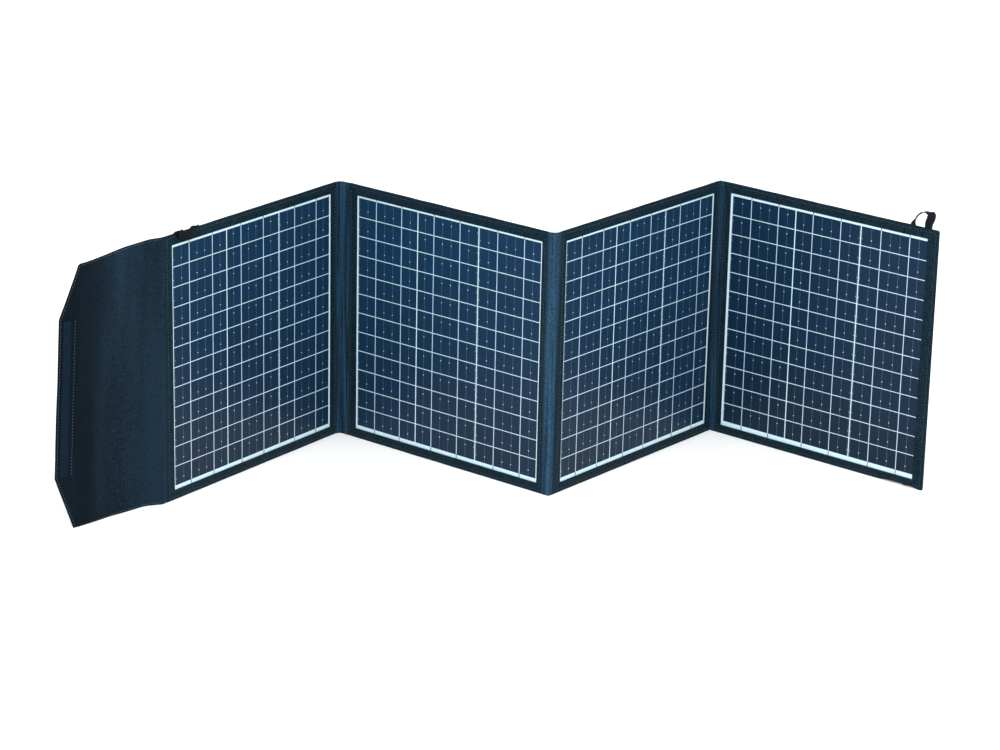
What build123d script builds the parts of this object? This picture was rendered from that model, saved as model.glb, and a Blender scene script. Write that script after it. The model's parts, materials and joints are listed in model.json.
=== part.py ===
from build123d import *
import math
import os

os.makedirs("parts", exist_ok=True)

# A folding solar panel: four fabric-covered panels joined by fabric spines, standing on their
# long bottom edges in a zigzag, with a closing flap on the left end.
# Millimetres. +X to the right, +Y away from the side the cells face, +Z up.
# Each panel has local coordinates: u along its width, v up, n out of the face with the cells.

# ---- Driving dimensions ---------------------------------------------------------------
window_width = 402.0        # visible laminate, along u
window_height = 424.0       # visible laminate, along v
top_margin = 19.5           # fabric above the window
bottom_margin = 16.5        # fabric below the window
tuck = 6.0                  # laminate hidden under the fabric frame, each side

back_fabric = 0.8           # back cover
board_thickness = 1.6       # stiffener board
backsheet_thickness = 0.6   # white backsheet
cell_thickness = 0.3
ribbon_thickness = 0.2
film_over_cells = 0.7       # clear film and encapsulant above the cells' lower face, in all
front_fabric = 0.8          # frame of the front cover, over the laminate
pocket_clearance = 0.5      # round the laminate, inside the covers

cell_columns = 3
cell_rows = 12
column_gap = 2.1
row_gap = 1.45
cells_below_top = 3.1       # from the top of the window to the first row
cells_above_bottom = 7.7    # from the last row to the bottom of the window
cells_beside = 6.6          # window left over beside the columns, both sides together
ribbon_offsets = (39.3, 95.8)   # from a cell's cut edge
ribbon_width = 1.4
bus_width = 4.0

web_thickness = 1.6         # fabric spine beside a fold
web_clearance = 0.6         # from the end of a web to the fold's axis
link_width = 12.0           # flat conductors inside the spines
link_thickness = 0.3
link_heights = (60.0, 90.0)

flap_thickness = 1.6
flap_length = 217.0         # from panel 1's cover to the free edge
flap_inner_length = 28.0    # of that, the strip that stays with panel 1
flap_bend = 7.4             # degrees that the flap leans back from panel 1's plane at rest
flap_corner = (33.0, 92.0)  # cut from the flap's outer corners, along u and v
flap_fold_clearance = 1.0   # fold axis in front of the flap's face
strip_width = 20.0          # hook strip and loop strip
strip_height = 270.0
strip_inset = 6.0           # from the flap's free edge
hook_thickness = 2.6
loop_thickness = 2.0
closed_gap = 0.5            # between the strips, and over a folded loop, when the flap is shut

tape_width = 15.0           # webbing of the corner loops
tape_thickness = 1.6
tape_loop_width = 38.0
tape_loop_height = 28.0
tape_loop_lean = 9.0        # the standing loop leans this far towards the end of the panel
tape_loop_inset = 4.0       # from the window's outer edge to the loops
tape_pile = 4.0             # a loop folded flat
corner_radius = 6.0

# Panels from left to right: turn about +Z, margins beside the window, widths of the spine webs
# inside those margins, and how far the cells start from the window's left edge.
panel_turns = (53.4, -38.2, 49.8, -38.95)
left_margins = (18.5, 35.0, 24.2, 19.7)
right_margins = (20.3, 21.6, 14.0, 20.0)
left_webs = (0.0, 20.0, 12.0, 7.0)
right_webs = (8.0, 12.0, 4.0, 0.0)
cell_starts = (1.8, 4.1, 2.2, 5.2)
turned_column = 1           # the column whose cells are turned end for end

# Distance from a fold's axis to the face that it folds towards.
fold_clearances = (2.5, 1.5, 1.5)

box_width = 84.0            # junction box on the back of panel 1
box_height = 62.0
box_depth = 15.0
box_wall = 2.0
box_lid = 2.5
box_radius = 6.0
box_centre_u = 300.0
box_centre_v = 350.0
post_radius = 3.5
post_inset = 6.5
screw_radius = 1.4
screw_head_radius = 2.6
screw_head = 1.2
screw_length = 9.0
screw_clearance = 0.1
standoff_height = 3.0
circuit_thickness = 1.6
circuit_gap = 3.0           # between the circuit board and the box's walls
terminal_size = (30.0, 12.0, 7.0)
gland_bore = 3.0            # radius
gland_radius = 5.0
gland_nut = 8.0             # radius
gland_nut_length = 9.0
gland_clearance = 0.1

# ---- Worked-out dimensions -------------------------------------------------------------
panel_height = bottom_margin + window_height + top_margin
board_top = back_fabric + board_thickness
sheet_top = board_top + backsheet_thickness
cell_top = sheet_top + cell_thickness
ribbon_top = cell_top + ribbon_thickness
film_top = sheet_top + cell_thickness + film_over_cells
panel_thickness = film_top + front_fabric
panel_widths = [left_margins[i] + window_width + right_margins[i] for i in range(4)]
laminate_width = window_width + 2 * tuck
laminate_height = window_height + 2 * tuck
cell_width = (window_width - cells_beside - (cell_columns - 1) * column_gap) / cell_columns
cell_height = (
    window_height - cells_below_top - cells_above_bottom - (cell_rows - 1) * row_gap
) / cell_rows
column_pitch = cell_width + column_gap
row_pitch = cell_height + row_gap

# The flap's side spans the closed stack, so that its end lies flat over panel 4's back.
flap_back = (panel_thickness - flap_thickness) / 2
stack_thickness = 4 * panel_thickness + 2 * sum(fold_clearances)
closed_cover = max(loop_thickness + hook_thickness, tape_pile) + closed_gap
flap_lean = math.radians(flap_bend)
flap_axis_n = flap_thickness + flap_fold_clearance
flap_side_axis = (
    flap_inner_length * math.cos(flap_lean) + flap_axis_n * math.sin(flap_lean),
    flap_back - flap_inner_length * math.sin(flap_lean) + flap_axis_n * math.cos(flap_lean),
)
flap_side_length = stack_thickness + closed_cover - flap_fold_clearance - flap_side_axis[1]
flap_end_length = flap_length - flap_inner_length - flap_side_length


def turned(angle, along, across):
    """A step of along and across in the directions u and n of a panel turned by angle."""
    a = math.radians(angle)
    return (along * math.cos(a) + across * math.sin(a), along * math.sin(a) - across * math.cos(a))


def chain_origins():
    """Where u = 0, n = 0 of each panel stands, so that neighbours share their fold's axis."""
    places = [(0.0, 0.0)]
    for i in range(3):
        axis_n = -fold_clearances[i] if i == 1 else panel_thickness + fold_clearances[i]
        out = turned(panel_turns[i], panel_widths[i], axis_n)
        back = turned(panel_turns[i + 1], 0.0, axis_n)
        places.append((places[i][0] + out[0] - back[0], places[i][1] + out[1] - back[1]))
    return places


def web_level(side, panel):
    """The lower face of a spine web: flush with the face that its fold closes towards."""
    fold = panel - 1 if side == "left" else panel
    return 0.0 if fold == 1 else panel_thickness - web_thickness


def centre_of_corners(places):
    """The middle of the box round all panels and the flap, seen from above."""
    points = []
    for i, (x, y) in enumerate(places):
        corners = [(left_webs[i], 0.0), (left_webs[i], panel_thickness)]
        corners += [(panel_widths[i] - right_webs[i], n) for n in (0.0, panel_thickness)]
        if left_webs[i] > 0.0:
            corners += [(web_clearance, web_level("left", i) + n) for n in (0.0, web_thickness)]
        if right_webs[i] > 0.0:
            web_end = panel_widths[i] - web_clearance
            corners += [(web_end, web_level("right", i) + n) for n in (0.0, web_thickness)]
        for along, across in corners:
            step = turned(panel_turns[i], along, across)
            points.append((x + step[0], y + step[1]))
    root = turned(panel_turns[0], 0.0, flap_back)
    for across in (0.0, flap_thickness):
        step = turned(panel_turns[0] - flap_bend, -flap_length, across)
        points.append((places[0][0] + root[0] + step[0], places[0][1] + root[1] + step[1]))
    xs = [p[0] for p in points]
    ys = [p[1] for p in points]
    return (min(xs) + max(xs)) / 2, (min(ys) + max(ys)) / 2


raw_origins = chain_origins()
centre = centre_of_corners(raw_origins)
origins = [(x - centre[0], y - centre[1]) for x, y in raw_origins]


def face_plane(origin, turn):
    """The plane n = 0, with its own X along u, Y up and Z along n."""
    a = math.radians(turn)
    return Plane(
        origin=(origin[0], origin[1], 0.0),
        x_dir=(math.cos(a), math.sin(a), 0.0),
        z_dir=(math.sin(a), -math.cos(a), 0.0),
    )


panel_planes = [face_plane(origins[i], panel_turns[i]) for i in range(4)]


def save(builder, name):
    builder.part.label = name
    export_step(builder.part, f"parts/{name}.step")


def slab(plane, low, high, bottom, top):
    """A plate between two corners (u, v) of a panel's plane, from n = bottom to n = top."""
    with BuildPart() as plate:
        with BuildSketch(plane.offset(bottom)):
            with Locations((low[0], low[1])):
                Rectangle(high[0] - low[0], high[1] - low[1], align=(Align.MIN, Align.MIN))
        extrude(amount=top - bottom)
    return plate


# ---- The four panels -------------------------------------------------------------------
for i, plane in enumerate(panel_planes):
    name = f"panel_{i + 1}"
    width = panel_widths[i]
    window_low = (left_margins[i], bottom_margin)
    window_high = (window_low[0] + window_width, window_low[1] + window_height)
    laminate_low = (window_low[0] - tuck, window_low[1] - tuck)
    laminate_high = (window_high[0] + tuck, window_high[1] + tuck)
    cover_low = (left_webs[i], 0.0)
    cover_high = (width - right_webs[i], panel_height)
    cover_centre = ((cover_low[0] + cover_high[0]) / 2, panel_height / 2)
    window_centre = (window_low[0] + window_width / 2, window_low[1] + window_height / 2)
    outer_end = i == 3

    # Back cover: one sheet of fabric, with rounded corners on the free end.
    with BuildPart() as back_cover:
        with BuildSketch(plane):
            with Locations(cover_centre):
                Rectangle(cover_high[0] - cover_low[0], panel_height)
        extrude(amount=back_fabric)
        if outer_end:
            edges = back_cover.edges().filter_by(Axis(plane.origin, plane.z_dir))
            fillet(edges.sort_by(Axis(plane.origin, plane.x_dir))[-2:], corner_radius)
    save(back_cover, f"{name}_back_cover")

    # Front cover: a fabric frame with a padded edge, open over the cells.
    with BuildPart() as front_cover:
        with BuildSketch(plane.offset(back_fabric)):
            with Locations(cover_centre):
                Rectangle(cover_high[0] - cover_low[0], panel_height)
        extrude(amount=panel_thickness - back_fabric)
        if outer_end:
            edges = front_cover.edges().filter_by(Axis(plane.origin, plane.z_dir))
            fillet(edges.sort_by(Axis(plane.origin, plane.x_dir))[-2:], corner_radius)
        with BuildSketch(plane.offset(back_fabric)):
            with Locations(window_centre):
                Rectangle(laminate_width + 2 * pocket_clearance, laminate_height + 2 * pocket_clearance)
        extrude(amount=film_top - back_fabric, mode=Mode.SUBTRACT)
        with BuildSketch(plane.offset(film_top)):
            with Locations(window_centre):
                Rectangle(window_width, window_height)
        extrude(amount=front_fabric, mode=Mode.SUBTRACT)
    save(front_cover, f"{name}_front_cover")

    board = slab(plane, laminate_low, laminate_high, back_fabric, board_top)
    save(board, f"{name}_stiffener_board")

    backsheet = slab(plane, laminate_low, laminate_high, board_top, sheet_top)
    save(backsheet, f"{name}_backsheet")

    # Cells: three columns of twelve, each a separate thin plate.
    cells_left = window_low[0] + cell_starts[i]
    cells_top = window_high[1] - cells_below_top
    cell_places = [
        (cells_left + column * column_pitch, cells_top - cell_height - row * row_pitch)
        for column in range(cell_columns)
        for row in range(cell_rows)
    ]
    with BuildPart() as cells:
        with BuildSketch(plane.offset(sheet_top)):
            with Locations(*cell_places):
                Rectangle(cell_width, cell_height, align=(Align.MIN, Align.MIN))
        extrude(amount=cell_thickness)
    save(cells, f"{name}_solar_cells")

    # Tab ribbons: two down each column, out past the cells to the bus ribbons.
    ribbon_places = []
    for column in range(cell_columns):
        cell_left = cells_left + column * column_pitch
        for distance in ribbon_offsets:
            if column == turned_column:
                distance = cell_width - distance
            ribbon_places.append((cell_left + distance, window_centre[1]))
    bus_inset = (tuck - bus_width) / 2
    ribbon_length = laminate_height - 2 * (bus_inset + bus_width)
    with BuildPart() as ribbons:
        with BuildSketch(plane.offset(cell_top)):
            with Locations(*ribbon_places):
                Rectangle(ribbon_width, ribbon_length)
        extrude(amount=ribbon_thickness)
    save(ribbons, f"{name}_tab_ribbons")

    # Bus ribbons: one across the top of the columns and one across the bottom, under the frame.
    ribbon_us = [place[0] for place in ribbon_places]
    bus_length = max(ribbon_us) - min(ribbon_us) + ribbon_width
    bus_middle = (max(ribbon_us) + min(ribbon_us)) / 2
    bus_reach = laminate_height / 2 - bus_inset - bus_width / 2
    with BuildPart() as bus:
        with BuildSketch(plane.offset(cell_top)):
            with Locations(
                (bus_middle, window_centre[1] - bus_reach), (bus_middle, window_centre[1] + bus_reach)
            ):
                Rectangle(bus_length, bus_width)
        extrude(amount=ribbon_thickness)
    save(bus, f"{name}_bus_ribbons")

    # Clear film and encapsulant: fills the space over the backsheet, round cells and ribbons.
    with BuildPart() as film:
        with BuildSketch(plane.offset(sheet_top)):
            with Locations(window_centre):
                Rectangle(laminate_width, laminate_height)
        extrude(amount=film_top - sheet_top)
        add([cells.part, ribbons.part, bus.part], mode=Mode.SUBTRACT)
    save(film, f"{name}_clear_film")

    # Spine webs: the fabric from the padded edge to the fold, with flat conductors inside.
    for side, web in (("left", left_webs[i]), ("right", right_webs[i])):
        if web == 0.0:
            continue
        web_bottom = web_level(side, i)
        web_start = web_clearance if side == "left" else width - web
        web_length = web - web_clearance
        link_bottom = web_bottom + (web_thickness - link_thickness) / 2
        link_centres = [(web_start + web_length / 2, height) for height in link_heights]
        with BuildPart() as links:
            with BuildSketch(plane.offset(link_bottom)):
                with Locations(*link_centres):
                    Rectangle(web_length, link_width)
            extrude(amount=link_thickness)
        save(links, f"{name}_link_strips_{side}")
        with BuildPart() as spine:
            with BuildSketch(plane.offset(web_bottom)):
                with Locations((web_start, 0.0)):
                    Rectangle(web_length, panel_height, align=(Align.MIN, Align.MIN))
            extrude(amount=web_thickness)
            add(links.part, mode=Mode.SUBTRACT)
        save(spine, f"{name}_spine_{side}")


# ---- Closing flap: an inner strip on panel 1, then a side and an end that fold round ----
flap_root = turned(panel_turns[0], 0.0, flap_back)
flap_plane = face_plane(
    (origins[0][0] + flap_root[0], origins[0][1] + flap_root[1]), panel_turns[0] - flap_bend
)
# The bend opens a wedge at the root, which the inner strip closes with its slanted end.
root_slant = flap_thickness * math.tan(flap_lean)
with BuildPart() as flap_inner:
    with BuildSketch(Plane(origin=flap_plane.origin, x_dir=flap_plane.x_dir, z_dir=(0, 0, 1))):
        with BuildLine():
            Polyline(
                (0.0, 0.0),
                (root_slant, -flap_thickness),
                (web_clearance - flap_inner_length, -flap_thickness),
                (web_clearance - flap_inner_length, 0.0),
                close=True,
            )
        make_face()
    extrude(amount=panel_height)
save(flap_inner, "flap_inner_strip")

flap_end_start = flap_inner_length + flap_side_length
flap_side = slab(
    flap_plane,
    (-flap_end_start + web_clearance, 0.0),
    (-flap_inner_length - web_clearance, panel_height),
    0.0,
    flap_thickness,
)
save(flap_side, "flap_side")

with BuildPart() as flap_end:
    with BuildSketch(flap_plane):
        with BuildLine():
            Polyline(
                (-flap_end_start - web_clearance, 0.0),
                (-flap_end_start - web_clearance, panel_height),
                (-flap_length + flap_corner[0], panel_height),
                (-flap_length, panel_height - flap_corner[1]),
                (-flap_length, flap_corner[1]),
                (-flap_length + flap_corner[0], 0.0),
                close=True,
            )
        make_face()
    extrude(amount=flap_thickness)
    outer = flap_end.edges().filter_by(Axis(flap_plane.origin, flap_plane.z_dir))
    fillet(outer.sort_by(Axis(flap_plane.origin, flap_plane.x_dir))[:4], corner_radius)
save(flap_end, "flap_end")

strip_low = (-flap_length + strip_inset, (panel_height - strip_height) / 2)
strip_high = (strip_low[0] + strip_width, strip_low[1] + strip_height)
hook_strip = slab(flap_plane, strip_low, strip_high, flap_thickness, flap_thickness + hook_thickness)
save(hook_strip, "hook_strip")

# Loop strip: on panel 4's back, where the hook strip lands when the stack is closed.
closed_tip = panel_widths[0] + flap_side_axis[0] - flap_end_length
closed_fold = panel_widths[1] - panel_widths[2]
loop_left = closed_tip + strip_inset - closed_fold
loop_strip = slab(
    panel_planes[3],
    (loop_left, strip_low[1]),
    (loop_left + strip_width, strip_high[1]),
    -loop_thickness,
    0.0,
)
save(loop_strip, "loop_strip")

# ---- Corner loops of webbing -----------------------------------------------------------
end_plane = panel_planes[3]
loop_right = left_margins[3] + window_width - tape_loop_inset
loop_foot = (loop_right - tape_loop_width, panel_height)
with BuildPart() as standing_loop:
    with BuildSketch(end_plane.offset((panel_thickness - tape_width) / 2)) as loop_face:
        with BuildLine():
            Polyline(
                (loop_foot[0], panel_height),
                (loop_right, panel_height),
                (loop_right + tape_loop_lean, panel_height + tape_loop_height),
                (loop_foot[0] + tape_loop_lean, panel_height + tape_loop_height),
                close=True,
            )
        make_face()
        fillet(loop_face.vertices().group_by(Axis.Y)[-1], corner_radius)
        offset(amount=-tape_thickness, mode=Mode.SUBTRACT)
        with Locations((loop_foot[0] + 2 * tape_thickness, panel_height)):
            Rectangle(
                tape_loop_width - 4 * tape_thickness,
                2 * tape_thickness,
                align=(Align.MIN, Align.MIN),
                mode=Mode.SUBTRACT,
            )
    extrude(amount=tape_width)
save(standing_loop, "hang_loop_top_right")

# The loop on panel 1's top corner is folded forward, flat over the front cover.
fold_drop = 20.0
fold_gap = 0.2
start_plane = panel_planes[0]
folded_left = left_margins[0] + tape_loop_inset
with BuildPart() as folded_loop:
    with BuildSketch(
        Plane(
            origin=start_plane.from_local_coords((folded_left, 0.0, 0.0)),
            x_dir=start_plane.z_dir,
            z_dir=-start_plane.x_dir,
        )
    ):
        with BuildLine():
            Polyline(
                (tape_thickness, panel_height),
                (tape_thickness, panel_height + tape_pile),
                (panel_thickness + tape_pile, panel_height + tape_pile),
                (panel_thickness + tape_pile, panel_height - fold_drop),
                (panel_thickness + fold_gap, panel_height - fold_drop),
                (panel_thickness + fold_gap, panel_height),
                close=True,
            )
        make_face()
    extrude(amount=-tape_loop_width)
save(folded_loop, "hang_loop_top_left")

# The bottom loops are folded up behind the panels that they are sewn to.
for name, plane, low in (
    ("hang_loop_bottom_left", start_plane, left_margins[0] + tape_loop_inset),
    ("hang_loop_bottom_right", end_plane, loop_foot[0]),
):
    tucked_loop = slab(plane, (low, 0.0), (low + tape_loop_width, tape_loop_height), -tape_pile, 0.0)
    save(tucked_loop, name)

# ---- Junction box on the back of panel 1 -----------------------------------------------
box_plane = Plane(
    origin=start_plane.from_local_coords((box_centre_u, box_centre_v, 0.0)),
    x_dir=-start_plane.x_dir,
    z_dir=-start_plane.z_dir,
)
cavity = (box_width - 2 * box_wall, box_height - 2 * box_wall)
post_pattern = (box_width - 2 * post_inset, box_height - 2 * post_inset)
with BuildPart() as box_base:
    with BuildSketch(box_plane):
        RectangleRounded(box_width, box_height, box_radius)
    extrude(amount=box_depth)
    with BuildSketch(box_plane.offset(box_wall)):
        RectangleRounded(*cavity, box_radius - box_wall)
    extrude(amount=box_depth - box_wall, mode=Mode.SUBTRACT)
    with BuildSketch(box_plane.offset(box_wall)):
        with GridLocations(*post_pattern, 2, 2):
            Circle(post_radius)
    extrude(amount=box_depth - box_wall)
    with BuildSketch(box_plane.offset(box_wall)):
        with GridLocations(post_pattern[0] / 2, post_pattern[1] / 2, 2, 2):
            Circle(post_radius / 2)
    extrude(amount=standoff_height)
    with BuildSketch(box_plane.offset(box_depth + box_lid - screw_length - screw_clearance)):
        with GridLocations(*post_pattern, 2, 2):
            Circle(screw_radius + screw_clearance)
    extrude(amount=screw_length, mode=Mode.SUBTRACT)
    gland_plane = Plane(
        origin=box_plane.from_local_coords((0.0, -box_height / 2, box_depth / 2)),
        x_dir=box_plane.x_dir,
        z_dir=(0, 0, -1),
    )
    with BuildSketch(gland_plane.offset(-box_wall)):
        Circle(gland_radius + gland_clearance)
    extrude(amount=box_wall, mode=Mode.SUBTRACT)
save(box_base, "junction_box_base")

with BuildPart() as box_cover:
    with BuildSketch(box_plane.offset(box_depth)):
        RectangleRounded(box_width, box_height, box_radius)
    extrude(amount=box_lid)
    fillet(box_cover.faces().sort_by(Axis(box_plane.origin, box_plane.z_dir))[-1].edges(), 1.0)
    with BuildSketch(box_plane.offset(box_depth)):
        with GridLocations(*post_pattern, 2, 2):
            Circle(screw_radius + screw_clearance)
    extrude(amount=box_lid, mode=Mode.SUBTRACT)
    with BuildSketch(box_plane.offset(box_depth + box_lid - screw_head)):
        with GridLocations(*post_pattern, 2, 2):
            Circle(screw_head_radius + screw_clearance)
    extrude(amount=screw_head, mode=Mode.SUBTRACT)
save(box_cover, "junction_box_lid")

with BuildPart() as screws:
    with BuildSketch(box_plane.offset(box_depth + box_lid - screw_length)):
        with GridLocations(*post_pattern, 2, 2):
            Circle(screw_radius)
    extrude(amount=screw_length - screw_head)
    with BuildSketch(box_plane.offset(box_depth + box_lid - screw_head)):
        with GridLocations(*post_pattern, 2, 2):
            Circle(screw_head_radius)
    extrude(amount=screw_head)
save(screws, "junction_box_screws")

circuit_size = (
    cavity[0] - 2 * circuit_gap,
    box_height - 2 * (post_inset + post_radius + circuit_gap),
)
circuit_bottom = box_wall + standoff_height
with BuildPart() as circuit:
    with BuildSketch(box_plane.offset(circuit_bottom)):
        Rectangle(*circuit_size)
    extrude(amount=circuit_thickness)
save(circuit, "diode_board")

with BuildPart() as terminals:
    with BuildSketch(box_plane.offset(circuit_bottom + circuit_thickness)):
        with Locations((0.0, -circuit_size[1] / 2 + terminal_size[1] / 2 + circuit_gap)):
            Rectangle(terminal_size[0], terminal_size[1])
    extrude(amount=terminal_size[2])
save(terminals, "terminal_block")

with BuildPart() as gland:
    with BuildSketch(gland_plane.offset(-box_wall)):
        Circle(gland_radius)
    extrude(amount=box_wall)
    with BuildSketch(gland_plane):
        RegularPolygon(gland_nut, 6)
    extrude(amount=gland_nut_length)
    with BuildSketch(gland_plane.offset(-box_wall)):
        Circle(gland_bore)
    extrude(amount=box_wall + gland_nut_length, mode=Mode.SUBTRACT)
save(gland, "cable_gland")
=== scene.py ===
"""Looks for the folding solar panel: fabric covers, soft spines, closing flap, webbing, cells and stage."""

import json
import math

import bmesh
import bpy
from bpy.props import FloatProperty, FloatVectorProperty, PointerProperty
from mathutils import Matrix, Vector, noise


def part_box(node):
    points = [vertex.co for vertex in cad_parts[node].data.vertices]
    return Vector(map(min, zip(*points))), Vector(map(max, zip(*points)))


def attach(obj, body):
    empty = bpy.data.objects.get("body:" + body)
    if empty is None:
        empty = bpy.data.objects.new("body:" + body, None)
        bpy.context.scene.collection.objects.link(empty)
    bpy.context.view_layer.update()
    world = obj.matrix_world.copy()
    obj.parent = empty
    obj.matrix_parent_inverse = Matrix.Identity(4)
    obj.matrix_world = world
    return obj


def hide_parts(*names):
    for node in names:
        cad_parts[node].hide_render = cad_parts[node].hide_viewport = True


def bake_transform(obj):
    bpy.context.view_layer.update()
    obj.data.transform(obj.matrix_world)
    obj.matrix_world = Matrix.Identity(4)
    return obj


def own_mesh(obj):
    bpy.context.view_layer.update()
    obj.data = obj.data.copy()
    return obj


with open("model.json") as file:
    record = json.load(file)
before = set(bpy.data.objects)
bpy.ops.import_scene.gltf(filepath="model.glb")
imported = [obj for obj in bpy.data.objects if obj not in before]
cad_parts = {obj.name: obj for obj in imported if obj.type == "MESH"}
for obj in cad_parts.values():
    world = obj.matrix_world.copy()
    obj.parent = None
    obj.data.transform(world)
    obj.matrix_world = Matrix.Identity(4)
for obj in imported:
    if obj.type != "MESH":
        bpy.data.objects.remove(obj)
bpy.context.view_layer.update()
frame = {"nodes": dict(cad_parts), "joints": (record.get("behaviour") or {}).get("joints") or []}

bl_info = {
    "name": "Folding solar panel",
    "version": (1, 0, 0),
    "blender": (4, 5, 0),
    "location": "View3D > Sidebar > Solar Panel",
    "description": "Covers, spines, flap, webbing and cells of a four-section folding solar panel",
    "category": "Object",
}

MM = 0.001
JOINTS = {joint["name"]: joint for joint in frame["joints"]}
SECTIONS = (1, 2, 3, 4)
TUCK = 6 * MM            # laminate hidden under the fabric frame, each side
FABRIC = 0.8 * MM        # one layer of cover fabric
HEM = 5.5 * MM           # from an edge to its row of stitches
HEM_REACH = 12 * MM      # how far in from an edge the sewing shapes the fabric
LINK_WIDTH = 12 * MM     # flat conductors inside the spines
LINK_THICKNESS = 0.3 * MM


# ---- Sizes and colours that a user would change ----------------------------------------
def length(name, description, default):
    return FloatProperty(name=name, description=description, default=default, unit="LENGTH", precision=5)


def colour(name, description, default):
    return FloatVectorProperty(
        name=name, description=description, default=default, subtype="COLOR", size=3, min=0.0, max=1.0
    )


class SolarPanelSizes(bpy.types.PropertyGroup):
    """Sizes of the soft parts and the stitching."""

    stitch_pitch: length("Stitch pitch", "From one stitch to the next", 5.6 * MM)
    stitch_length: length("Stitch length", "Length of a stitch that shows", 3.6 * MM)
    stitch_width: length("Stitch width", "Width of the thread", 0.75 * MM)
    thread_pitch: length("Weave pitch", "From one yarn of the cover fabric to the next", 0.55 * MM)
    webbing_rib: length("Webbing rib", "From one rib of the webbing to the next", 1.5 * MM)
    slack: length("Slack", "How far loose fabric waves out of line", 0.5 * MM)
    busbar: length("Busbar width", "Width of a printed line on a cell", 0.35 * MM)
    pad: length("Pad width", "Width of a solder pad on a cell", 1.9 * MM)


class SolarPanelColours(bpy.types.PropertyGroup):
    """Colours of the finishes."""

    fabric: colour("Fabric", "Woven cover fabric", (0.0055, 0.0142, 0.0222))
    # Painted light: the spines are painted lighter than the cover fabric, for the light that falls on them.
    spine: colour("Spine fabric", "Softer fabric of the spines", (0.0095, 0.0280, 0.0500))
    # Painted light: the spine that stands out in front is painted paler, for the light that falls on it.
    lit_spine: colour("Lit spine fabric", "Fabric of the spine that stands out in front", (0.0160, 0.0440, 0.0770))
    flap: colour("Flap fabric", "Fabric of the closing flap", (0.0064, 0.0155, 0.0265))
    webbing: colour("Webbing", "Corner loops", (0.0024, 0.0040, 0.0068))
    thread: colour("Thread", "Stitching of the flap", (0.0850, 0.1300, 0.1500))
    cover_thread: colour("Cover thread", "Stitching of the covers and spines", (0.0520, 0.0850, 0.0950))
    hook: colour("Hook tape", "Hook and loop strips", (0.0012, 0.0028, 0.0050))
    cell: colour("Cell", "Coated silicon", (0.0050, 0.0262, 0.0620))
    # Painted light: the cells' tint where they are painted duller, low down and at the front.
    cell_shaded: colour("Cell, dull tint", "Coated silicon low down and at the front", (0.0065, 0.0180, 0.0370))
    backsheet: colour("Backsheet", "White sheet behind the cells", (0.6600, 0.8800, 0.9700))
    busbar: colour("Printed line", "Silver lines printed on the cells", (0.0900, 0.1500, 0.2300))
    ribbon: colour("Ribbon", "Tinned copper", (0.4300, 0.5600, 0.7200))
    floor: colour("Floor", "Plain studio floor", (0.9300, 0.9300, 0.9300))


def sizes():
    return bpy.context.scene.solar_panel_sizes


def colours():
    return bpy.context.scene.solar_panel_colours


# ---- Places from the frame --------------------------------------------------------------
class Face:
    """A section's own axes: u across, v up, n out of the side with the cells.

    (0, 0, 0) is the lower left corner of the window, on the clear film.
    """

    def __init__(self, number):
        self.number = number
        self.body = f"panel_{number}"
        film = f"panel_{number}_clear_film"
        normal = max(frame["nodes"][film].data.polygons, key=lambda face: face.area).normal.copy()
        self.n = -normal if normal.y > 0 else normal
        self.u = Vector((-self.n.y, self.n.x, 0.0))
        self.v = Vector((0.0, 0.0, 1.0))
        self.origin = Vector()
        low, high = self.span(film)
        self.origin = self.u * (low.x + TUCK) + self.v * (low.y + TUCK) + self.n * high.z
        self.window = Vector((high.x - low.x - 2 * TUCK, high.y - low.y - 2 * TUCK))
        self.low, self.high = self.span(f"panel_{number}_front_cover")
        self.back = self.span(f"panel_{number}_back_cover")[0].z
        self.middle = (self.back + self.high.z) / 2
        self.half = (self.high.z - self.back) / 2

    def at(self, u, v, n=0.0):
        return self.origin + self.u * u + self.v * v + self.n * n

    def local(self, point):
        step = Vector(point) - self.origin
        return Vector((step.dot(self.u), step.dot(self.v), step.dot(self.n)))

    def span(self, node):
        """Lowest and highest u, v and n of a CAD node."""
        points = [self.local(vertex.co) for vertex in frame["nodes"][node].data.vertices]
        return (
            Vector([min(point[k] for point in points) for k in range(3)]),
            Vector([max(point[k] for point in points) for k in range(3)]),
        )


FACES = {number: Face(number) for number in SECTIONS}
FOLDS = {"fold_1_2": (1, 2), "fold_2_3": (2, 3), "fold_3_4": (3, 4)}


class FlapFace(Face):
    """The flap's own axes: s from its root to its free edge, v up, n out of its front; n = 0 is its front."""

    def __init__(self):
        normal = max(frame["nodes"]["flap_end"].data.polygons, key=lambda face: face.area).normal.copy()
        self.n = -normal if normal.y > 0 else normal
        self.u = Vector((-self.n.y, self.n.x, 0.0))
        self.v = Vector((0.0, 0.0, 1.0))
        self.origin = Vector()
        low, high = self.span("flap_inner_strip")
        self.origin = self.u * high.x + self.v * low.y + self.n * high.z
        self.length = -self.span("flap_end")[0].x
        self.height = high.y - low.y
        self.thickness = high.z - low.z


FLAP = FlapFace()


# ---- Mesh helpers -------------------------------------------------------------------------
def smooth_step(value):
    value = min(max(value, 0.0), 1.0)
    return value * value * (3 - 2 * value)


def mix(a, b, share):
    return a + (b - a) * share


def bump(distance, width):
    return math.exp(-((distance / width) ** 2))


def wave(u, v, scale, seed=0.0):
    """Smooth unevenness between about -1 and 1."""
    return noise.noise(Vector((u * scale, v * scale, seed)))


def lines(low, high, step, extra=()):
    """Evenly spaced lines from low to high, with extra ones, none closer than a tenth of a millimetre."""
    count = max(1, round((high - low) / step))
    found = sorted([mix(low, high, k / count) for k in range(count + 1)] + [x for x in extra if low < x < high])
    kept = [found[0]]
    for value in found[1:]:
        if value - kept[-1] > 0.1 * MM:
            kept.append(value)
    kept[-1] = high
    return kept


def rounding(radius, steps=5):
    """Distances in from an edge that follow a quarter circle well."""
    return [radius * (1 - math.cos(math.pi / 2 * k / steps)) for k in range(1, steps + 1)]


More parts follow.
